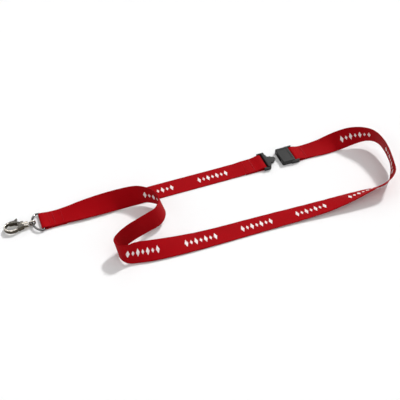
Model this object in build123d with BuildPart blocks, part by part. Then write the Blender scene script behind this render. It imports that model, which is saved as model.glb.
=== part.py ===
from build123d import *
import math
import os

# A neck lanyard laid down loose: a woven ribbon, a pull-apart safety catch that stands
# open, a D-ring and a swivel hook with a sprung gate. Millimetres, +Z up, standing on
# z = 0, the origin under the middle of the whole.

# ---- driving dimensions -------------------------------------------------------------
ribbon_width = 20.0
ribbon_thickness = 0.9
half_layer = ribbon_thickness / 2

# The straight stretch from the D-ring to the catch lies along one line on the surface.
line_start = Vector(-158.3, -34.0, 0)
line_angle = 20.9
line_dir = Vector(1, 0, 0).rotate(Axis.Z, line_angle)
line_right = line_dir.cross(Vector(0, 0, 1))

# Each sewn end of the ribbon goes round a bar of this size.
bar_radius = 1.0
bar_play = 0.1
wrap_radius = bar_radius + bar_play + half_layer
bar_height = half_layer + wrap_radius
socket_bar_at = 271.0
tongue_bar_at = 234.4
ring_tail = 22.0
socket_tail = 35.0
tongue_tail = 22.0
body_gap = 0.3

catch_width = 23.2
catch_height = 5.4
slot_width = 20.6
arm_width = (catch_width - slot_width) / 2
socket_front_at = 254.0
socket_body_length = 14.4
tongue_front_at = 240.5
tongue_length = 9.0
tongue_width = 10.4
tongue_thickness = 2.4
tongue_height = 2.7

ring_wire = 1.0
ring_half_width = 11.1
ring_depth = 9.3
eye_ring_radius = 2.6
eye_wire = 0.85
eye_height = eye_ring_radius + eye_wire
ring_lift = math.degrees(math.asin((eye_height - bar_height) / ring_depth))
hook_yaw = -3.0

post_radius = 1.0
post_play = 0.05
collar_radius = 3.0
collar_start = 4.2
collar_end = 9.0
head_radius = 1.7
head_start = 7.5
head_length = 0.8
hook_half_thickness = 2.4
pin_radius = 0.65
pin_at = (10.6, -1.2)
gate_reach = 11.6
gate_gap = 0.25
gate_slot_half = 1.6
gate_root_half = 1.35
ear_inner_half = 0.65

os.makedirs("parts", exist_ok=True)


def finish(shape, name):
    shape.part.label = name
    export_step(shape.part, f"parts/{name}.step")


def along_line(distance, height=0.0):
    """A point over the straight line, this far from the D-ring's bar."""
    return line_start + line_dir * distance + Vector(0, 0, height)


# Seen from the side, x runs along the straight line and y is up.
side_plane = Plane(origin=line_start, x_dir=line_dir, z_dir=line_right)


def lying_plane(distance, height):
    """A level plane over the line, its x along the line and its y to the left."""
    return Plane(origin=along_line(distance, height), x_dir=line_dir, z_dir=(0, 0, 1))


def ribbon_from_side(points, radii, name):
    """A stretch of ribbon drawn from the side, one layer thick and the full width."""
    with BuildPart() as ribbon:
        with BuildSketch(side_plane):
            with BuildLine():
                FilletPolyline(points, radius=radii)
            trace(line_width=ribbon_thickness)
        extrude(amount=ribbon_width / 2, both=True)
    finish(ribbon, name)
    return ribbon


# ---- ribbon: the sewn fold round the D-ring's bar -------------------------------------
# Three layers lie here: the tail below, the end of the far ribbon, the near ribbon on top.
layer_1 = half_layer
layer_2 = 3 * half_layer
layer_3 = 5 * half_layer
fold_lead = 13.0
wrap_fillet = wrap_radius * 0.9
wrap_top = bar_height + wrap_radius

ring_fold = ribbon_from_side(
    [
        (ring_tail, layer_1),
        (-wrap_radius, layer_1),
        (-wrap_radius, wrap_top),
        (1.5, wrap_top),
        (9.0, layer_3),
        (fold_lead, layer_3),
    ],
    [wrap_fillet, wrap_fillet, 5.0, 5.0],
    "ring_fold",
)

# ---- ribbon: the fold round the socket half's bar -------------------------------------
socket_fold_end = socket_bar_at + fold_lead
socket_fold = ribbon_from_side(
    [
        (socket_bar_at + socket_tail, layer_1),
        (socket_bar_at - wrap_radius, layer_1),
        (socket_bar_at - wrap_radius, wrap_top),
        (socket_bar_at + 1.5, wrap_top),
        (socket_bar_at + 10.0, layer_2),
        (socket_fold_end, layer_2),
    ],
    [wrap_fillet, wrap_fillet, 5.0, 5.0],
    "socket_fold",
)

# ---- ribbon: the fold round the tongue half's bar, which travels with that half --------
tongue_fold_end = tongue_bar_at - fold_lead
lifted_layer = layer_2 + body_gap
tongue_fold = ribbon_from_side(
    [
        (tongue_bar_at - tongue_tail, layer_1),
        (tongue_bar_at + wrap_radius, layer_1),
        (tongue_bar_at + wrap_radius, wrap_top),
        (tongue_bar_at - 1.5, wrap_top),
        (tongue_bar_at - 9.0, lifted_layer),
        (tongue_fold_end, lifted_layer),
    ],
    [wrap_fillet, wrap_fillet, 5.0, 5.0],
    "tongue_fold",
)

# ---- ribbon: the far one, flat on the surface from the D-ring to the tongue half --------
far_ribbon = ribbon_from_side(
    [
        (4.0, layer_2),
        (ring_tail + 2.0, layer_2),
        (ring_tail + 12.0, layer_1),
        (tongue_bar_at - tongue_tail - 14.0, layer_1),
        (tongue_bar_at - tongue_tail - 2.0, lifted_layer),
        (tongue_fold_end - body_gap, lifted_layer),
    ],
    [20.0, 20.0, 20.0, 20.0],
    "far_ribbon",
)

# ---- ribbon: the near one, the long way round to the socket half ------------------------
# Each row is a point of its middle line (x, y, z) and its lean in degrees: 0 is flat with
# the printed face up, and a positive lean lifts the edge on the left of the way it runs.
end_gap = 1.0
ring_end = along_line(fold_lead + end_gap, layer_3)
socket_end = along_line(socket_fold_end + end_gap, layer_2 + 0.1)
near_route = [
    (ring_end.X, ring_end.Y, ring_end.Z, 0),
    (-137, -26, 2.8, 0),
    (-118.5, -21.3, 6, 19),
    (-84.5, -10.5, 9.2, 51),
    (-61.5, -5.7, 13.2, 82),
    (-41, -17.7, 15, 106),
    (-41.5, -38.7, 16, 110),
    (-58.5, -50.1, 14.8, 104),
    (-76.5, -63.1, 11.8, 104),
    (-83.8, -75.5, 10.5, 102),
    (-73.5, -84.7, 12.2, 80),
    (-60.5, -78.3, 9, 50),
    (-47.5, -73.7, 5.8, 27),
    (-4.5, -58.7, 1.8, 4),
    (55.5, -35.7, 0.5, 0),
    (120.5, -14, 2.2, -10),
    (160.5, 1.5, 7.4, -38),
    (190.5, 12.8, 11, -70),
    (193, 35.3, 15, -101),
    (190, 55.3, 18.3, -105),
    (181, 75.8, 19, -112),
    (161.5, 80.5, 14.5, -78),
    (139.3, 77.8, 5.8, -30),
    (123.4, 71.9, 2.5, -9),
    (socket_end.X, socket_end.Y, socket_end.Z, 0),
]


def corner_radii(points):
    """The widest arc at each point of a route that its two runs leave room for."""
    radii = []
    for before, here, after in zip(points, points[1:], points[2:]):
        first = Vector(here) - Vector(before)
        second = Vector(after) - Vector(here)
        half_turn = math.radians(first.get_angle(second)) / 2
        radii.append(0.45 * min(first.length, second.length) / math.tan(half_turn))
    return radii


def lean_at(share, marks, leans):
    """The lean at a share of the route's length, in even steps from point to point."""
    for index in range(len(marks) - 1):
        if share <= marks[index + 1]:
            step = (share - marks[index]) / (marks[index + 1] - marks[index])
            return leans[index] + step * (leans[index + 1] - leans[index])
    return leans[-1]


near_points = [row[:3] for row in near_route]
near_leans = [row[3] for row in near_route]
near_radii = corner_radii(near_points)
with BuildLine() as near_line:
    FilletPolyline(near_points, radius=near_radii)
near_path = near_line.wire()

run_ends = [0.0]
for before, here in zip(near_points, near_points[1:]):
    run_ends.append(run_ends[-1] + (Vector(here) - Vector(before)).length)
near_marks = [end / run_ends[-1] for end in run_ends]

section_step = 7.0
section_count = round(near_path.length / section_step)
with BuildPart() as near_ribbon:
    for index in range(section_count + 1):
        share = index / section_count
        centre = near_path.position_at(share)
        ahead = near_path.tangent_at(share)
        left = Vector(0, 0, 1).cross(ahead).normalized()
        across = left.rotate(Axis((0, 0, 0), ahead), lean_at(share, near_marks, near_leans))
        with BuildSketch(Plane(origin=centre, x_dir=across, z_dir=ahead)):
            Rectangle(ribbon_width, ribbon_thickness)
    loft(ruled=True)
finish(near_ribbon, "near_ribbon")

print("near ribbon radii", [round(radius, 1) for radius in near_radii])
print("near ribbon length", round(near_path.length, 1))
near_share = near_ribbon.part.volume / (ribbon_width * ribbon_thickness * near_path.length)
print("near ribbon volume over section times length", round(near_share, 3))


# ---- stitching: a bar tack of zigzag thread across each sewn end ------------------------
tack_width = 16.0
tack_steps = 12
tack_reach = 1.0
tack_inset = 1.5
thread_width = 0.4
thread_height = 0.25


def stitching(distance, height, name):
    """One zigzag row of thread lying across the ribbon, on the face at this height."""
    with BuildPart() as thread:
        with BuildSketch(lying_plane(distance, height)):
            with BuildLine():
                Polyline(
                    [
                        (
                            tack_reach * (-1) ** step,
                            tack_width * (step / tack_steps - 0.5),
                        )
                        for step in range(tack_steps + 1)
                    ]
                )
            trace(line_width=thread_width)
        extrude(amount=thread_height)
    finish(thread, name)
    return thread


ring_stitching = stitching(fold_lead - tack_inset, layer_3 + half_layer, "ring_stitching")
socket_stitching = stitching(socket_fold_end - tack_inset, layer_2 + half_layer, "socket_stitching")
tongue_stitching = stitching(
    tongue_fold_end + tack_inset, lifted_layer + half_layer, "tongue_stitching"
)

# ---- safety catch: the socket half ------------------------------------------------------
socket_width = 21.8
socket_depth = 11.2
socket_play = 0.25
socket_middle = socket_front_at + socket_body_length / 2
with BuildPart() as catch_socket:
    # the hollow body
    with BuildSketch(lying_plane(socket_middle, 0)):
        RectangleRounded(socket_body_length, socket_width, 1.6)
    extrude(amount=catch_height)
    body_rims = catch_socket.edges().group_by(Axis.Z)
    fillet(body_rims[0] + body_rims[-1], 0.9)
    # two arms reach back past the slot and hold the bar
    arm_start = socket_front_at + socket_body_length - 4.0
    arm_end = socket_bar_at + 1.9
    with BuildSketch(lying_plane((arm_start + arm_end) / 2, 0.3)):
        with GridLocations(0, slot_width + arm_width, 1, 2):
            RectangleRounded(arm_end - arm_start, arm_width, 0.4)
    extrude(amount=catch_height - 1.2)
    with BuildSketch(side_plane.offset(-slot_width / 2 - 0.2)):
        with Locations((socket_bar_at, bar_height)):
            Circle(bar_radius)
    extrude(amount=slot_width + 0.4)
    # the mouth that the tongue enters
    with BuildSketch(lying_plane(socket_front_at + socket_depth / 2 - 0.5, tongue_height)):
        Rectangle(socket_depth + 1.0, tongue_width + 2 * socket_play)
    extrude(
        amount=tongue_thickness / 2 + socket_play,
        both=True,
        mode=Mode.SUBTRACT,
    )
    # a shallow panel in the top
    with BuildSketch(lying_plane(socket_middle, catch_height)):
        RectangleRounded(socket_body_length - 4.6, socket_width - 5.0, 1.2)
    extrude(amount=-0.35, mode=Mode.SUBTRACT)
finish(catch_socket, "catch_socket")

# ---- safety catch: the tongue half ------------------------------------------------------
frame_length = 3.4
with BuildPart() as catch_tongue:
    # the cross piece
    frame_middle = tongue_front_at - frame_length / 2
    with BuildSketch(lying_plane(frame_middle, 0.1)):
        RectangleRounded(frame_length, catch_width - 0.6, 0.8)
    extrude(amount=catch_height - 0.3)
    frame_rims = catch_tongue.edges().group_by(Axis.Z)
    fillet(frame_rims[0] + frame_rims[-1], 0.7)
    # the arms and the bar for the ribbon
    tongue_arm_end = tongue_front_at - 1.2
    tongue_arm_start = tongue_bar_at - 1.7
    with BuildSketch(lying_plane((tongue_arm_start + tongue_arm_end) / 2, 0.4)):
        with GridLocations(0, slot_width + arm_width, 1, 2):
            RectangleRounded(tongue_arm_end - tongue_arm_start, arm_width, 0.4)
    extrude(amount=catch_height - 1.4)
    with BuildSketch(side_plane.offset(-slot_width / 2 - 0.2)):
        with Locations((tongue_bar_at, bar_height)):
            Circle(bar_radius)
    extrude(amount=slot_width + 0.4)
    # the tongue: a waist behind a rounded head, so that a hard pull lets it out
    head_radius_plan = 2.9
    head_at = tongue_length - head_radius_plan
    with BuildSketch(lying_plane(tongue_front_at, tongue_height - tongue_thickness / 2)):
        with BuildLine():
            Polyline(
                [
                    (-1.0, tongue_width / 2),
                    (1.6, tongue_width / 2),
                    (3.0, tongue_width / 2 - 1.1),
                    (4.2, tongue_width / 2 - 0.5),
                    (head_at, head_radius_plan),
                ]
            )
            ThreePointArc(
                (head_at, head_radius_plan),
                (tongue_length, 0),
                (head_at, -head_radius_plan),
            )
            Polyline(
                [
                    (head_at, -head_radius_plan),
                    (4.2, -tongue_width / 2 + 0.5),
                    (3.0, -tongue_width / 2 + 1.1),
                    (1.6, -tongue_width / 2),
                    (-1.0, -tongue_width / 2),
                ]
            )
            Line((-1.0, -tongue_width / 2), (-1.0, tongue_width / 2))
        make_face()
    extrude(amount=tongue_thickness)
    # a low ridge across the root of the tongue
    with BuildSketch(lying_plane(tongue_front_at + 0.5, tongue_height)):
        Rectangle(1.0, tongue_width + 5.0)
    extrude(amount=1.6, both=True)
finish(catch_tongue, "catch_tongue")

# ---- D-ring: one bent wire, its straight bar inside the ribbon's fold --------------------
ring_out = (line_dir * -1).rotate(Axis((0, 0, 0), line_right), -ring_lift)
ring_plane = Plane(
    origin=along_line(0, bar_height),
    x_dir=ring_out,
    z_dir=ring_out.cross(line_right),
)
corner_radius = 1.2
corner_end = 2.2
with BuildPart() as d_ring:
    with BuildLine(ring_plane) as ring_wire_line:
        bar_half = ring_half_width - corner_radius
        corner_x = corner_radius * (1 - math.sqrt(0.5))
        corner_y = bar_half + corner_radius * math.sqrt(0.5)
        Line((0, -bar_half), (0, bar_half))
        ThreePointArc((0, bar_half), (corner_x, corner_y), (corner_radius, ring_half_width))
        Line((corner_radius, ring_half_width), (corner_end, ring_half_width))
        EllipticalCenterArc(
            (corner_end, 0),
            ring_depth - corner_end,
            ring_half_width,
            start_angle=-90,
            arc_size=180,
        )
        Line((corner_end, -ring_half_width), (corner_radius, -ring_half_width))
        ThreePointArc((corner_radius, -ring_half_width), (corner_x, -corner_y), (0, -bar_half))
    with BuildSketch(Plane(origin=ring_plane.origin, z_dir=ring_plane.y_dir)):
        Circle(ring_wire)
    sweep()
finish(d_ring, "d_ring")

# ---- hook: its own frame sits on the D-ring's wire, x along the hook ---------------------
hook_dir = (line_dir * -1).rotate(Axis.Z, hook_yaw)
hook_origin = ring_plane.from_local_coords(Vector(ring_depth, 0, 0))
hook_plane = Plane(origin=hook_origin, x_dir=hook_dir, z_dir=(0, 0, 1))
hook_side = hook_plane.y_dir
post_plane = Plane(origin=hook_origin, x_dir=hook_side, z_dir=hook_dir)


def rod(radius, start, length, mode=Mode.ADD):
    """A round length on the hook's axis, in the part being built."""
    with Locations(post_plane.offset(start)):
        Cylinder(radius, length, align=(Align.CENTER, Align.CENTER, Align.MIN), mode=mode)


# ---- swivel eye: the ring on the D-ring's wire, its post and its spread head --------------
with BuildPart() as swivel_eye:
    with BuildSketch(hook_plane):
        with Locations((eye_ring_radius, 0)):
            Circle(eye_wire)
    revolve(axis=Axis(hook_origin, hook_side))
    rod(post_radius, eye_ring_radius, head_start - eye_ring_radius)
    rod(1.6, eye_ring_radius + 0.5, collar_start - body_gap - eye_ring_radius - 0.5)
    rod(head_radius, head_start, head_length)
finish(swivel_eye, "swivel_eye")

# ---- hook body: collar, two cheeks for the gate, and the round claw -----------------------
claw_at = 19.6
claw_path_length = 6.85
claw_path_width = 5.75
claw_wall = 1.25
with BuildPart() as hook_body:
    # the claw: a bent bar from beside the gate's nose round to the shank
    with BuildLine(hook_plane) as claw_line:
        EllipticalCenterArc(
            (claw_at, 0),
            claw_path_length,
            claw_path_width,
            start_angle=-76,
            arc_size=234,
        )
    claw_start = claw_line.line @ 0
    with BuildSketch(Plane(origin=claw_start, x_dir=(0, 0, 1), z_dir=claw_line.line % 0)):
        Ellipse(hook_half_thickness, claw_wall)
    sweep()
    # the shank and the cheeks beside the gate
    with BuildSketch(hook_plane):
        with BuildLine():
            Polyline(
                [
                    (8.4, 2.9),
                    (8.4, -3.3),
                    (12.2, -3.2),
                    (13.5, 0.2),
                    (13.9, 4.3),
                    (12.9, 4.6),
                    (8.4, 2.9),
                ]
            )
        make_face()
    extrude(amount=hook_half_thickness, both=True)
    # the tip ends on the arc that the gate's nose swings along
    with BuildSketch(hook_plane):
        with Locations(pin_at):
            Circle(gate_reach + gate_gap)
        with Locations((20.0, -6.0)):
            Rectangle(8.0, 5.0, mode=Mode.INTERSECT)
    extrude(amount=hook_half_thickness + 1, both=True, mode=Mode.SUBTRACT)
    # the collar with the post's hole and the hollow for the post's head
    rod(collar_radius, collar_start, collar_end - collar_start + 0.6)
    rod(post_radius + post_play, collar_start, head_start - collar_start, Mode.SUBTRACT)
    rod(head_radius + 0.3, head_start - body_gap, head_length + 2 * body_gap, Mode.SUBTRACT)
    # the slot between the cheeks, open on the gate's side
    with BuildSketch(hook_plane):
        with Locations(pin_at):
            Circle(2.1)
        with BuildLine():
            Polyline(
                [
                    (pin_at[0], pin_at[1] + 2.1),
                    (15.5, 2.2),
                    (15.5, -6.0),
                    (pin_at[0] - 0.6, -6.0),
                    (pin_at[0] - 2.1, pin_at[1]),
                    (pin_at[0], pin_at[1] + 2.1),
                ]
            )
        make_face()
    extrude(amount=gate_slot_half, both=True, mode=Mode.SUBTRACT)
    with BuildSketch(hook_plane):
        with Locations(pin_at):
            Circle(pin_radius)
    extrude(amount=hook_half_thickness + 1, both=True, mode=Mode.SUBTRACT)
finish(hook_body, "hook_body")

# ---- gate pin: a plain rivet through both cheeks -------------------------------------------
with BuildPart() as gate_pin:
    with BuildSketch(hook_plane):
        with Locations(pin_at):
            Circle(pin_radius)
    extrude(amount=hook_half_thickness + 0.15, both=True)
finish(gate_pin, "gate_pin")

# ---- gate: two ears on the pin, the bar that shuts the mouth, and the thumb tab --------------
gate_play = 0.05
gate_half_thickness = 2.2
with BuildPart() as hook_gate:
    with BuildSketch(hook_plane):
        with Locations(pin_at):
            Circle(1.75)
        with BuildLine():
            Polyline(
                [
                    (pin_at[0], pin_at[1] + 1.75),
                    (14.6, -2.1),
                    (14.6, -5.3),
                    (12.4, -4.6),
                    (pin_at[0] - 0.9, pin_at[1] - 1.5),
                    (pin_at[0], pin_at[1] + 1.75),
                ]
            )
        make_face()
    extrude(amount=gate_root_half, both=True)
    with BuildSketch(hook_plane):
        with BuildLine():
            Polyline(
                [
                    (14.0, -2.3),
                    (17.0, -3.7),
                    (23.0, -4.0),
                    (23.0, -6.2),
                    (17.0, -6.6),
                    (14.2, -8.6),
                    (13.4, -8.3),
                    (13.8, -5.3),
                    (14.0, -2.3),
                ]
            )
        make_face()
        with Locations(pin_at):
            Circle(gate_reach, mode=Mode.INTERSECT)
    extrude(amount=gate_half_thickness, both=True)
    # room between the ears for the spring's coil, and the pin's hole
    with BuildSketch(hook_plane):
        with Locations(pin_at):
            Circle(2.0)
    extrude(amount=ear_inner_half, both=True, mode=Mode.SUBTRACT)
    with BuildSketch(hook_plane):
        with Locations(pin_at):
            Circle(pin_radius + gate_play)
    extrude(amount=gate_root_half, both=True, mode=Mode.SUBTRACT)
finish(hook_gate, "hook_gate")

# ---- gate spring: a few turns of wire round the pin ------------------------------------------
spring_wire = 0.16
spring_radius = 1.15
spring_turns = 3
spring_length = 0.9
with BuildPart() as gate_spring:
    with BuildLine() as spring_line:
        Helix(
            pitch=spring_length / spring_turns,
            height=spring_length,
            radius=spring_radius,
            center=hook_plane.from_local_coords(
                Vector(pin_at[0], pin_at[1], -spring_length / 2)
            ),
        )
    with BuildSketch(Plane(origin=spring_line.line @ 0, z_dir=spring_line.line % 0)):
        Circle(spring_wire)
    sweep(is_frenet=True)
finish(gate_spring, "gate_spring")

print("ring lift", round(ring_lift, 2), "degrees")
print("hook origin", [round(value, 3) for value in tuple(hook_origin)])
print("hook direction", [round(value, 5) for value in tuple(hook_dir)])
print("line direction", [round(value, 5) for value in tuple(line_dir)])
pin_centre = hook_plane.from_local_coords(Vector(pin_at[0], pin_at[1], 0))
print("gate pin", [round(value, 3) for value in tuple(pin_centre)])
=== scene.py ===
import math
import random

import bmesh
import bpy
from mathutils import Matrix, Vector


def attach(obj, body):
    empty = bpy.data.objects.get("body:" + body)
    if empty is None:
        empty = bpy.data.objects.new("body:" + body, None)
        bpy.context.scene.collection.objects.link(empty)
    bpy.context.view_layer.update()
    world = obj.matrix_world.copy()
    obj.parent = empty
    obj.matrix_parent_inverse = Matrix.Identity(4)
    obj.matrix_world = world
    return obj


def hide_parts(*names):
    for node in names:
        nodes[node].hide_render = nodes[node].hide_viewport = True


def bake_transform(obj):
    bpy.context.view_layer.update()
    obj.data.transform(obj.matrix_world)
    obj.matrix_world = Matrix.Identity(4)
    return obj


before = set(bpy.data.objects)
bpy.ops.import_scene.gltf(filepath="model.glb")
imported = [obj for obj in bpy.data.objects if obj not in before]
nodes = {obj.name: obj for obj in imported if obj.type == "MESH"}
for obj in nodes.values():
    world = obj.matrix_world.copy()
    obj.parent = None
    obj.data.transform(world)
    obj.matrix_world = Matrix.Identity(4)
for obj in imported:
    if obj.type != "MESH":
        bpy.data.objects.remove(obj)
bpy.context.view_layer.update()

mm = 0.001

# ---- camera ---------------------------------------------------------------------------
# The lanyard lies on a table and is looked at from in front, nearly half way up, from as
# far off as an arm and a half. Sensor and lens are those of a plain portrait lens.
camera_distance = 0.72
camera_elevation = math.radians(46.5)
camera_dip = math.radians(46.18)
looked_at = Vector((-4.5 * mm, -8.7 * mm, 0))
camera_data = bpy.data.cameras.new("camera")
camera_data.sensor_width = 36
camera_data.lens = 64.8
camera_data.clip_start = 0.01
camera = bpy.data.objects.new("camera", camera_data)
camera.location = looked_at + camera_distance * Vector(
    (0, -math.cos(camera_elevation), math.sin(camera_elevation))
)
camera.rotation_euler = (math.pi / 2 - camera_dip, 0, 0)
bpy.context.scene.collection.objects.link(camera)
bpy.context.scene.camera = camera

# ---- near ribbon ----------------------------------------------------------------------
# The longer of the two lengths of woven polyester ribbon, 20 mm wide. One end is folded
# round the D-ring's bar and sewn, the other round the bar of the catch's socket half, and
# between them it stands on edge through two bends, lies flat, and stands up again.
ribbon_half_width = 10 * mm
ribbon_half_thickness = 0.45 * mm
line_start = Vector((-158.3, -34.0, 0)) * mm
line_angle = math.radians(20.9)
line_dir = Vector((math.cos(line_angle), math.sin(line_angle), 0))
line_left = Vector((-math.sin(line_angle), math.cos(line_angle), 0))
# how far along the line the bars of the catch lie from the D-ring's bar, in mm
socket_bar = 271
tongue_bar = 234.4
weft_pitch = 0.5 * mm
warp_pitch = 0.42 * mm


def over_line(distance, height):
    """The point over the straight line this far from the D-ring's bar, both in mm."""
    return line_start + line_dir * distance * mm + Vector((0, 0, height * mm))


def spline_points(control_points, steps=24):
    """The points of a smooth open line that has these control points."""
    curve = bpy.data.curves.new("line", "CURVE")
    curve.dimensions = "3D"
    curve.resolution_u = steps
    spline = curve.splines.new("NURBS")
    spline.points.add(len(control_points) - 1)
    for point, place in zip(spline.points, control_points):
        point.co = (*place, 1)
    spline.order_u = 3
    spline.use_endpoint_u = True
    holder = bpy.data.objects.new("line", curve)
    mesh = bpy.data.meshes.new_from_object(holder)
    found = [vertex.co.copy() for vertex in mesh.vertices]
    bpy.data.objects.remove(holder)
    bpy.data.curves.remove(curve)
    bpy.data.meshes.remove(mesh)
    return found


ring_end = over_line(14, 2.25)
socket_end = over_line(socket_bar + 14, 1.45)
# place in metres, and how many degrees the ribbon leans over there from lying flat
near_route = [
    (*ring_end, 0),
    (-0.137, -0.026, 0.0028, 0),
    (-0.1185, -0.0213, 0.006, 19),
    (-0.0845, -0.0105, 0.0092, 51),
    (-0.0615, -0.0057, 0.0132, 82),
    (-0.041, -0.0177, 0.015, 106),
    (-0.0415, -0.0387, 0.016, 110),
    (-0.0585, -0.0501, 0.0148, 104),
    (-0.0765, -0.0631, 0.0118, 104),
    (-0.0838, -0.0755, 0.0105, 102),
    (-0.0735, -0.0847, 0.0122, 80),
    (-0.0605, -0.0783, 0.009, 50),
    (-0.0475, -0.0737, 0.0058, 27),
    (-0.0045, -0.0587, 0.0018, 4),
    (0.0555, -0.0357, 0.0005, 0),
    (0.1205, -0.014, 0.0022, -10),
    (0.1605, 0.0015, 0.0074, -38),
    (0.1905, 0.0128, 0.011, -70),
    (0.193, 0.0353, 0.015, -101),
    (0.19, 0.0553, 0.0183, -105),
    (0.181, 0.0758, 0.019, -112),
    (0.1615, 0.0805, 0.0145, -78),
    (0.1393, 0.0778, 0.0058, -30),
    (0.1234, 0.0719, 0.0025, -9),
    (*socket_end, 0),
]


class Strip:
    """A ribbon's middle line with, at each of its points, the way across and the way out
    of the printed face, and how far along it the point lies."""

    def __init__(self, line, across):
        self.line = line
        self.across = across
        self.along = [0.0]
        for before, here in zip(line, line[1:]):
            self.along.append(self.along[-1] + (here - before).length)
        self.face = []
        for index, side in enumerate(across):
            before = line[max(index - 1, 0)]
            after = line[min(index + 1, len(line) - 1)]
            ahead = (after - before).normalized()
            self.face.append(ahead.cross(side).normalized())

    def at(self, distance):
        """Middle, way across and way out at this distance along the strip."""
        last = len(self.line) - 1
        index = 0
        while index < last - 1 and self.along[index + 1] < distance:
            index += 1
        gap = self.along[index + 1] - self.along[index]
        share = min(max((distance - self.along[index]) / gap, 0), 1)
        return tuple(
            values[index].lerp(values[index + 1], share)
            for values in (self.line, self.across, self.face)
        )


def leaning_across(line, leans):
    """The way across at each point: level, then leant over about the way ahead."""
    across = []
    for index, lean in enumerate(leans):
        before = line[max(index - 1, 0)]
        after = line[min(index + 1, len(line) - 1)]
        ahead = (after - before).normalized()
        left = Vector((0, 0, 1)).cross(ahead).normalized()
        across.append(Matrix.Rotation(math.radians(lean), 3, ahead) @ left)
    return across


def fold_points(profile):
    """A fold's points from its side view, (distance along the line, height) in mm."""
    return spline_points([over_line(*place) for place in profile])


# how far past the middle of a bar the ribbon goes as it turns round it, in mm
wrap = 1.6
ring_fold_profile = [
    (22, 0.45), (12, 0.45), (4, 0.45), (-wrap, 0.4),
    (-wrap, 3.6), (2.5, 3.7), (8, 2.3), (14, 2.25),
]
socket_fold_profile = [
    (socket_bar + 14, 1.45), (socket_bar + 9, 1.45), (socket_bar + 2.5, 3.7),
    (socket_bar - wrap, 3.6), (socket_bar - wrap, 0.4), (socket_bar + 4, 0.45),
    (socket_bar + 18, 0.46), (socket_bar + 35, 0.45),
]
ring_fold_line = fold_points(ring_fold_profile)
route_line = spline_points([row[:3] for row in near_route])
route_leans = [point.y for point in spline_points([(0, row[3], 0) for row in near_route])]
socket_fold_line = fold_points(socket_fold_profile)
route_across = leaning_across(route_line, route_leans)
near_strip = Strip(
    ring_fold_line[:-1] + route_line + socket_fold_line[1:],
    [line_left] * (len(ring_fold_line) - 1)
    + route_across
    + [-line_left] * (len(socket_fold_line) - 1),
)
route_starts = near_strip.along[len(ring_fold_line) - 1]


def ribbon_outline():
    """The ribbon's cross section: across and out, with a thicker woven edge each side."""
    edge_bead = 0.05 * mm
    bead_width = 1.0 * mm
    steps = 20
    top = []
    for step in range(steps + 1):
        across = ribbon_half_width * 0.975 * (2 * step / steps - 1)
        from_edge = ribbon_half_width - abs(across)
        bead = edge_bead * math.exp(-((from_edge / bead_width) ** 2))
        top.append((across, ribbon_half_thickness - edge_bead + bead))
    right = (ribbon_half_width, 0.4 * ribbon_half_thickness)
    left = (-ribbon_half_width, 0.4 * ribbon_half_thickness)
    upper = [left] + top + [right]
    return upper + [(across, -out) for across, out in reversed(upper)]


def new_piece(name, build, smooth=True):
    """A mesh piece from the bmesh that build fills."""
    filled = bmesh.new()
    build(filled)
    bmesh.ops.recalc_face_normals(filled, faces=filled.faces)
    mesh = bpy.data.meshes.new(name)
    filled.to_mesh(mesh)
    filled.free()
    if smooth:
        mesh.shade_smooth()
    piece = bpy.data.objects.new(name, mesh)
    bpy.context.scene.collection.objects.link(piece)
    return piece


def join_rings(filled, rings):
    """Faces from each ring of vertices to the next, and one to close each end."""
    count = len(rings[0])
    for first, second in zip(rings, rings[1:]):
        for index in range(count):
            other = (index + 1) % count
            filled.faces.new((first[index], first[other], second[other], second[index]))
    filled.faces.new(rings[0])
    filled.faces.new(reversed(rings[-1]))


def ribbon_piece(name, strip, ripple_seed):
    """The woven ribbon along a strip, closed at its two cut ends."""
    outline = ribbon_outline()
    chance = random.Random(ripple_seed)
    waves = [
        (chance.uniform(0.011, 0.045), chance.uniform(0, math.tau)) for _ in range(5)
    ]
    ripple = 0.035 * mm

    def build(filled):
        cloth = filled.verts.layers.float_vector.new("cloth")
        rings = []
        for middle, side, face, along in zip(strip.line, strip.across, strip.face, strip.along):
            swell = sum(math.sin(math.tau * along / size + start) for size, start in waves)
            ring = []
            for across, out in outline:
                edge = (across / ribbon_half_width) ** 2
                place = middle + side * across + face * (out + ripple * swell * edge)
                vertex = filled.verts.new(place)
                vertex[cloth] = (along, across, out)
                ring.append(vertex)
            rings.append(ring)
        join_rings(filled, rings)

    piece = new_piece(name, build)
    piece.data.set_sharp_from_angle(angle=math.radians(60))
    return piece


class Shader:
    """A material under construction: its nodes, and short ways to add to them."""

    def __init__(self, name, **settings):
        self.material = bpy.data.materials.new(name)
        self.material.use_nodes = True
        self.tree = self.material.node_tree
        self.surface = self.tree.nodes["Principled BSDF"]
        for socket, value in settings.items():
            self.surface.inputs[socket.replace("_", " ")].default_value = value

    def node(self, kind, inputs=(), **facts):
        made = self.tree.nodes.new("ShaderNode" + kind)
        for fact, value in facts.items():
            setattr(made, fact, value)
        for socket, value in dict(inputs).items():
            if isinstance(value, bpy.types.NodeSocket):
                self.tree.links.new(value, made.inputs[socket])
            else:
                made.inputs[socket].default_value = value
        return made

    def maths(self, operation, first, second=0.0, third=0.0):
        return self.node(
            "Math", {0: first, 1: second, 2: third}, operation=operation
        ).outputs[0]

    def mix(self, share, first, second):
        made = self.node("Mix", {0: share, 6: first, 7: second}, data_type="RGBA")
        return made.outputs[2]

    def noise(self, vector, scale, detail=3.0):
        inputs = {"Vector": vector, "Scale": scale, "Detail": detail}
        return self.node("TexNoise", inputs).outputs[0]

    def ranged(self, value, low, high, **facts):
        inputs = {"Value": value, "From Min": low, "From Max": high}
        return self.node("MapRange", inputs, **facts).outputs[0]

    def bump(self, height, strength, distance, below=None):
        inputs = {"Height": height, "Strength": strength, "Distance": distance}
        if below is not None:
            inputs["Normal"] = below
        return self.node("Bump", inputs).outputs[0]

    def set(self, socket, value):
        self.tree.links.new(value, self.surface.inputs[socket])


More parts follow.
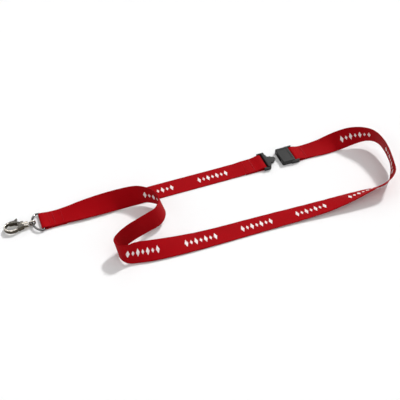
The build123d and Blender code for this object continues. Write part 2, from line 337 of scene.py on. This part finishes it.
def woven_material(name, light, dark):
    """Ribbon weave: fine cords across the width over threads that run along it."""
    cloth = Shader(
        name,
        Sheen_Weight=0.05,
        Sheen_Roughness=0.45,
        Sheen_Tint=(1.0, 0.2, 0.22, 1),
        Specular_IOR_Level=0.05,
    )
    place = cloth.node("Attribute", attribute_name="cloth").outputs["Vector"]
    parts = cloth.node("SeparateXYZ", {0: place}).outputs
    drift = cloth.noise(place, 220.0)
    along = cloth.maths("MULTIPLY_ADD", drift, 0.12 * mm, parts[0])
    weft_turn = cloth.maths("MULTIPLY", along, math.tau / weft_pitch)
    warp_turn = cloth.maths("MULTIPLY", parts[1], math.tau / warp_pitch)
    weft = cloth.maths("SINE", weft_turn)
    warp = cloth.maths("SINE", warp_turn)
    # plain weave: where a cross thread is up, the long thread beside it is down
    half_weft = cloth.maths("SINE", cloth.maths("MULTIPLY", weft_turn, 0.5))
    half_warp = cloth.maths("SINE", cloth.maths("MULTIPLY", warp_turn, 0.5))
    crossing = cloth.maths("MULTIPLY", half_weft, half_warp)
    ribs = cloth.maths("MULTIPLY_ADD", weft, 0.35, cloth.maths("MULTIPLY", warp, 0.3))
    weave = cloth.maths("MULTIPLY_ADD", crossing, 0.45, ribs)
    # the woven edge: the last millimetre is denser and a touch darker
    edge = cloth.maths("ABSOLUTE", parts[1])
    edge_share = cloth.ranged(edge, 8.9 * mm, 9.7 * mm, interpolation_type="SMOOTHSTEP")
    cloudy = cloth.noise(place, 45.0, 4.0)
    fuzz = cloth.noise(place, 2600.0, 2.0)
    shade = cloth.maths("MULTIPLY_ADD", weave, 0.22, 0.52)
    shade = cloth.maths("MULTIPLY_ADD", cloudy, 0.35, cloth.maths("SUBTRACT", shade, 0.17))
    shade = cloth.maths("MULTIPLY_ADD", edge_share, -0.22, shade)
    shade = cloth.node("Clamp", {0: shade}).outputs[0]
    cloth.set("Base Color", cloth.mix(shade, dark, light))
    rough = cloth.maths("MULTIPLY_ADD", fuzz, 0.25, 0.5)
    cloth.set("Roughness", rough)
    woven = cloth.bump(weave, 0.55, 0.06 * mm)
    cloth.set("Normal", cloth.bump(fuzz, 0.25, 0.03 * mm, woven))
    return cloth.material


ribbon_red = woven_material("ribbon_red", (0.47, 0.0006, 0.005, 1), (0.23, 0.0003, 0.002, 1))

near_ribbon = ribbon_piece("near_ribbon_cloth", near_strip, 3)
near_ribbon.data.materials.append(ribbon_red)
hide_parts("near_ribbon", "ring_fold", "socket_fold")
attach(near_ribbon, "strap")

# ---- far ribbon -----------------------------------------------------------------------
# The shorter length of the same ribbon. It is sewn in between the near ribbon's layers at
# the D-ring, lies flat and straight, and is folded round the tongue half's bar.
far_profile = [
    (4, 1.35), (14, 1.35), (24, 1.35), (33, 0.5), (44, 0.45), (80, 0.45), (120, 0.45),
    (160, 0.45), (190, 0.45), (205, 0.6), (214, 1.6), (222, 1.65), (226, 1.75),
    (tongue_bar - 2.5, 3.7), (tongue_bar + wrap, 3.6), (tongue_bar + wrap, 0.4),
    (tongue_bar - 4, 0.45), (tongue_bar - 13, 0.46), (tongue_bar - 22, 0.45),
]
far_line = fold_points(far_profile)
far_strip = Strip(far_line, [line_left] * len(far_line))
far_ribbon = ribbon_piece("far_ribbon_cloth", far_strip, 8)
far_ribbon.data.materials.append(ribbon_red)
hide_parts("far_ribbon", "tongue_fold")
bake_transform(far_ribbon)

# ---- printed marks --------------------------------------------------------------------
# A screen-printed pattern in white ink on one face of both ribbons: groups of seven
# lozenges, large and small by turns, one group every 57.8 mm, a thin film of ink.
group_pitch = 57.8 * mm
mark_pitch = 4.9 * mm
marks_in_group = 7
mark_half_height = 3.9 * mm
ink_top = ribbon_half_thickness + 0.05 * mm
ink_foot = ribbon_half_thickness - 0.1 * mm


def mark_slices(number):
    """A lozenge as slices: offset along the ribbon, and half its height there. Every
    other lozenge is a small one."""
    small = number % 2 == 1
    half_width = 1.35 * mm if small else 1.8 * mm
    half_height = mark_half_height * (0.62 if small else 1.0)
    steps = 10
    slices = []
    for step in range(steps + 1):
        offset = half_width * (2 * step / steps - 1)
        height = half_height * (1 - abs(offset) / half_width)
        slices.append((offset, max(height, 0.12 * mm)))
    return slices


def printed_marks(name, strip, group_centres):
    """Every mark on one ribbon, each a thin closed patch of ink that follows the cloth."""

    def build(filled):
        cloth = filled.verts.layers.float_vector.new("cloth")
        for centre in group_centres:
            for number in range(marks_in_group):
                mark_at = centre + mark_pitch * (number - (marks_in_group - 1) / 2)
                rings = []
                for offset, height in mark_slices(number):
                    middle, side, face = strip.at(mark_at + offset)
                    ring = []
                    for across, out in (
                        (-height, ink_top),
                        (0, ink_top),
                        (height, ink_top),
                        (height, ink_foot),
                        (-height, ink_foot),
                    ):
                        vertex = filled.verts.new(middle + side * across + face * out)
                        vertex[cloth] = (mark_at + offset, across, out)
                        ring.append(vertex)
                    rings.append(ring)
                join_rings(filled, rings)

    piece = new_piece(name, build, smooth=False)
    piece.data.materials.append(ink_white)
    return piece


def ink_material():
    """White ink over cloth: it sinks between the threads, which show as faint lines."""
    ink = Shader("ink_white", Roughness=0.55, Specular_IOR_Level=0.3)
    place = ink.node("Attribute", attribute_name="cloth").outputs["Vector"]
    parts = ink.node("SeparateXYZ", {0: place}).outputs
    weft = ink.maths("SINE", ink.maths("MULTIPLY", parts[0], math.tau / weft_pitch))
    warp = ink.maths("SINE", ink.maths("MULTIPLY", parts[1], math.tau / warp_pitch))
    weave = ink.maths("MULTIPLY", weft, warp)
    worn = ink.noise(place, 900.0, 4.0)
    cover = ink.maths("MULTIPLY_ADD", weave, 0.12, worn)
    cover = ink.ranged(cover, 0.28, 0.46)
    ink.set("Base Color", ink.mix(cover, (0.75, 0.28, 0.3, 1), (0.86, 0.82, 0.81, 1)))
    ink.set("Normal", ink.bump(weave, 0.4, 0.03 * mm))
    return ink.material


ink_white = ink_material()
first_group = route_starts + 105 * mm
# after the first group, the print run starts again 7.6 mm early
near_groups = [first_group] + [
    first_group - 7.6 * mm + group_pitch * number for number in range(1, 9)
]
near_print = printed_marks("near_ribbon_marks", near_strip, near_groups)
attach(near_print, "strap")
far_groups = [115 * mm, 174.5 * mm]
far_print = printed_marks("far_ribbon_marks", far_strip, far_groups)
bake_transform(far_print)

# ---- stitching ------------------------------------------------------------------------
# Each sewn end has a bar tack and a plain seam behind it: red thread pulled down into the
# ribbon, so that every stitch is a short, slightly crowned loop between two needle holes.
thread_radius = 0.17 * mm


def thread_piece(name, stitches):
    """A row of stitches, each from one needle hole to the next, as short round arches."""

    def build(filled):
        around = 7
        steps = 6
        for start, end, out in stitches:
            rings = []
            run = end - start
            side = run.normalized().cross(out).normalized()
            for step in range(steps + 1):
                share = step / steps
                arch = 4 * share * (1 - share)
                middle = start.lerp(end, share) + out * (arch * 1.5 - 0.8) * thread_radius
                girth = thread_radius * (0.55 + 0.45 * arch)
                rings.append(
                    [
                        filled.verts.new(
                            middle
                            + side * girth * math.cos(math.tau * turn / around)
                            + out * girth * math.sin(math.tau * turn / around)
                        )
                        for turn in range(around)
                    ]
                )
            join_rings(filled, rings)

    piece = new_piece(name, build)
    piece.data.materials.append(thread_red)
    return piece


def thread_material():
    """Twisted polyester thread, a little glossier and lighter than the ribbon."""
    thread = Shader("thread_red", Roughness=0.5, Sheen_Weight=0.05, Specular_IOR_Level=0.15)
    place = thread.node("TexCoord").outputs["Object"]
    twist = thread.node(
        "TexWave",
        {"Vector": place, "Scale": 900.0, "Distortion": 1.5},
        bands_direction="DIAGONAL",
    ).outputs["Fac"]
    colour = thread.mix(twist, (0.3, 0.002, 0.006, 1), (0.58, 0.006, 0.016, 1))
    thread.set("Base Color", colour)
    thread.set("Normal", thread.bump(twist, 0.5, 0.05 * mm))
    return thread.material


thread_red = thread_material()


def zigzag(distance, height, reach=1.0, half_width=8.0, steps=22):
    """The stitches of a bar tack across the ribbon: places in mm, in the line's frame."""
    holes = [
        over_line(distance + reach * (-1) ** step, height)
        + line_left * half_width * (2 * step / steps - 1) * mm
        for step in range(steps + 1)
    ]
    return [(a, b, Vector((0, 0, 1))) for a, b in zip(holes, holes[1:])]


def seam(distance, height, half_width=8.6, count=12):
    """A plain seam across the ribbon, with a gap between one stitch and the next."""
    stitches = []
    length = 2 * half_width / count
    for number in range(count):
        start = -half_width + number * length
        first = over_line(distance, height) + line_left * start * mm
        second = first + line_left * 0.78 * length * mm
        stitches.append((first, second, Vector((0, 0, 1))))
    return stitches


ring_thread = thread_piece(
    "ring_thread", zigzag(11.5, 2.7) + seam(7.2, 3.15) + seam(20.0, 3.3)
)
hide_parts("ring_stitching")
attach(ring_thread, "strap")
socket_thread = thread_piece(
    "socket_thread", zigzag(socket_bar + 11.5, 1.9) + seam(socket_bar + 32.0, 2.35)
)
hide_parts("socket_stitching")
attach(socket_thread, "strap")
tongue_thread = thread_piece(
    "tongue_thread", zigzag(tongue_bar - 11.5, 2.1) + seam(tongue_bar - 20.0, 2.1)
)
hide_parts("tongue_stitching")
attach(tongue_thread, "tongue_half")

# ---- safety catch ---------------------------------------------------------------------
# Two injection-moulded halves in black acetal. The socket half is a flat hollow body with
# a slotted bar behind it; the tongue half has the same bar and a waisted tongue.


def moulded_material():
    """Black acetal: a fine spark texture, greyer where handling has polished the edges."""
    plastic = Shader("black_plastic", Roughness=0.42, Specular_IOR_Level=0.32)
    place = plastic.node("TexCoord").outputs["Object"]
    grain = plastic.noise(place, 3200.0, 2.0)
    cloudy = plastic.noise(place, 160.0, 3.0)
    worn_edge = plastic.node("NewGeometry").outputs["Pointiness"]
    wear = plastic.ranged(worn_edge, 0.53, 0.62)
    wear = plastic.maths("MULTIPLY", wear, cloudy)
    colour = plastic.mix(wear, (0.012, 0.012, 0.0115, 1), (0.05, 0.05, 0.048, 1))
    plastic.set("Base Color", colour)
    rough = plastic.maths("MULTIPLY_ADD", cloudy, 0.22, 0.3)
    plastic.set("Roughness", rough)
    plastic.set("Normal", plastic.bump(grain, 0.35, 0.02 * mm))
    return plastic.material


def refinish(node, material):
    """A CAD node gets its finish, and smooth shading between its real edges."""
    mesh = nodes[node].data
    mesh.materials.clear()
    mesh.materials.append(material)
    mesh.shade_smooth()
    mesh.set_sharp_from_angle(angle=math.radians(35))


black_plastic = moulded_material()
refinish("catch_socket", black_plastic)
refinish("catch_tongue", black_plastic)

# ---- D-ring ---------------------------------------------------------------------------
# Bent and butted from 2 mm steel wire and nickel plated; its straight bar lies inside the
# ribbon's fold.


def plated_material(name, colour, tarnish_and_painted_shade, roughness):
    """Nickel plate: random tarnished blotches, painted shade in the hollows and on the steep
    sides, fine scratches, a rolling surface.
    """
    metal = Shader(name, Metallic=1.0, Roughness=roughness)
    place = metal.node("TexCoord").outputs["Object"]
    blotch = metal.noise(place, 240.0, 4.0)
    # painted shade: the hollows and the steep sides are darkened towards the dark colour, over
    # random tarnished blotches
    convexity = metal.node("NewGeometry").outputs["Pointiness"]
    # painted shade in the hollows, where the pointiness is low
    hollow = metal.ranged(convexity, 0.56, 0.46)
    normal = metal.node("TexCoord").outputs["Normal"]
    upward = metal.maths("ABSOLUTE", metal.node("SeparateXYZ", {0: normal}).outputs[2])
    # painted shade on the sides that face neither up nor down
    side = metal.ranged(upward, 0.75, -0.1)
    blotch_and_painted_shade = metal.maths("MULTIPLY_ADD", blotch, 0.5, metal.maths("MULTIPLY", hollow, 0.25))
    blotch_and_painted_shade = metal.maths("MULTIPLY_ADD", side, 0.75, metal.maths("SUBTRACT", blotch_and_painted_shade, 0.2))
    blotch_and_painted_shade = metal.ranged(blotch_and_painted_shade, 0.2, 0.5)
    # the dark colour stands for real tarnishing in the blotches and for painted shade in the
    # hollows and on the sides
    metal.set("Base Color", metal.mix(blotch_and_painted_shade, colour, tarnish_and_painted_shade))
    stretched = metal.node(
        "Mapping", {"Vector": place, "Scale": (1.0, 9.0, 1.0)}
    ).outputs[0]
    scratches = metal.noise(stretched, 1500.0, 3.0)
    metal.set("Roughness", metal.maths("MULTIPLY_ADD", scratches, 0.12, roughness - 0.06))
    cast = metal.noise(place, 300.0, 1.0)
    metal.set("Normal", metal.bump(cast, 0.08, 0.05 * mm))
    return metal.material


# its dark colour is painted shade on the sides and in the hollows, as well as tarnishing
ring_plate = plated_material("ring_plate", (0.3, 0.3, 0.295, 1), (0.04, 0.04, 0.038, 1), 0.12)
refinish("d_ring", ring_plate)

# ---- swivel hook ----------------------------------------------------------------------
# A zinc casting, nickel plated: a ring with a riveted post turns in the collar, and the
# claw's mouth is shut by a gate on a steel pin, pushed out by a small coil spring.
# its dark colour is painted shade on the sides and in the hollows, as well as tarnishing
hook_plate = plated_material("hook_plate", (1.0, 0.94, 0.84, 1), (0.07, 0.058, 0.043, 1), 0.12)
refinish("swivel_eye", hook_plate)
refinish("hook_body", hook_plate)
refinish("hook_gate", hook_plate)
# its dark colour is painted shade on the sides and in the hollows, as well as tarnishing
pin_steel = plated_material("pin_steel", (0.55, 0.53, 0.48, 1), (0.35, 0.32, 0.27, 1), 0.3)
refinish("gate_pin", pin_steel)
refinish("gate_spring", pin_steel)

# ---- floor and light ------------------------------------------------------------------
# A white table under a soft lamp, high up behind on the right, in a white-ceilinged room
# that fills the shadows.
floor_half_width = 6.0


def floor_build(filled):
    bmesh.ops.create_grid(filled, x_segments=2, y_segments=2, size=floor_half_width)


floor = new_piece("floor", floor_build)
floor_paint = Shader("floor_white", Roughness=0.9, Specular_IOR_Level=0.1)
floor_paint.surface.inputs["Base Color"].default_value = (0.93, 0.93, 0.93, 1)
floor.data.materials.append(floor_paint.material)

key_direction = Vector((0.565, 0.785, 1.0))
key_data = bpy.data.lights.new("key", "SUN")
key_data.angle = math.radians(7)
key_data.energy = 2.1
key = bpy.data.objects.new("key", key_data)
key.location = key_direction
key.rotation_euler = key_direction.to_track_quat("Z", "Y").to_euler()
bpy.context.scene.collection.objects.link(key)

# the room: light panels over darker walls, with dark gaps, which the metal mirrors
world = bpy.data.worlds.new("studio")
world.use_nodes = True
room = world.node_tree
heading = room.nodes.new("ShaderNodeTexCoord").outputs["Generated"]
height = room.nodes.new("ShaderNodeSeparateXYZ")
room.links.new(heading, height.inputs[0])


def two_tone(share, low_place, low_colour, high_place, high_colour):
    """A colour that runs from one to another as share goes between two places."""
    ramp = room.nodes.new("ShaderNodeValToRGB")
    stops = ramp.color_ramp.elements
    stops[0].position = low_place
    stops[0].color = low_colour
    stops[1].position = high_place
    stops[1].color = high_colour
    room.links.new(share, ramp.inputs["Fac"])
    return ramp.outputs["Color"]


white = (1, 1, 1, 1)
walls = two_tone(height.outputs[2], 0.12, (0.10, 0.10, 0.11, 1), 0.55, white)
patches = room.nodes.new("ShaderNodeTexNoise")
patches.inputs["Scale"].default_value = 2.6
patches.inputs["Detail"].default_value = 1.0
room.links.new(heading, patches.inputs["Vector"])
panels = two_tone(patches.outputs[0], 0.47, (0.03, 0.03, 0.03, 1), 0.53, white)
lit = room.nodes.new("ShaderNodeMix")
lit.data_type = "RGBA"
lit.blend_type = "MULTIPLY"
lit.inputs[0].default_value = 1.0
room.links.new(walls, lit.inputs[6])
room.links.new(panels, lit.inputs[7])
backdrop = room.nodes["Background"]
room.links.new(lit.outputs[2], backdrop.inputs["Color"])
backdrop.inputs["Strength"].default_value = 1.5
bpy.context.scene.world = world
bpy.context.scene.view_settings.view_transform = "Standard"
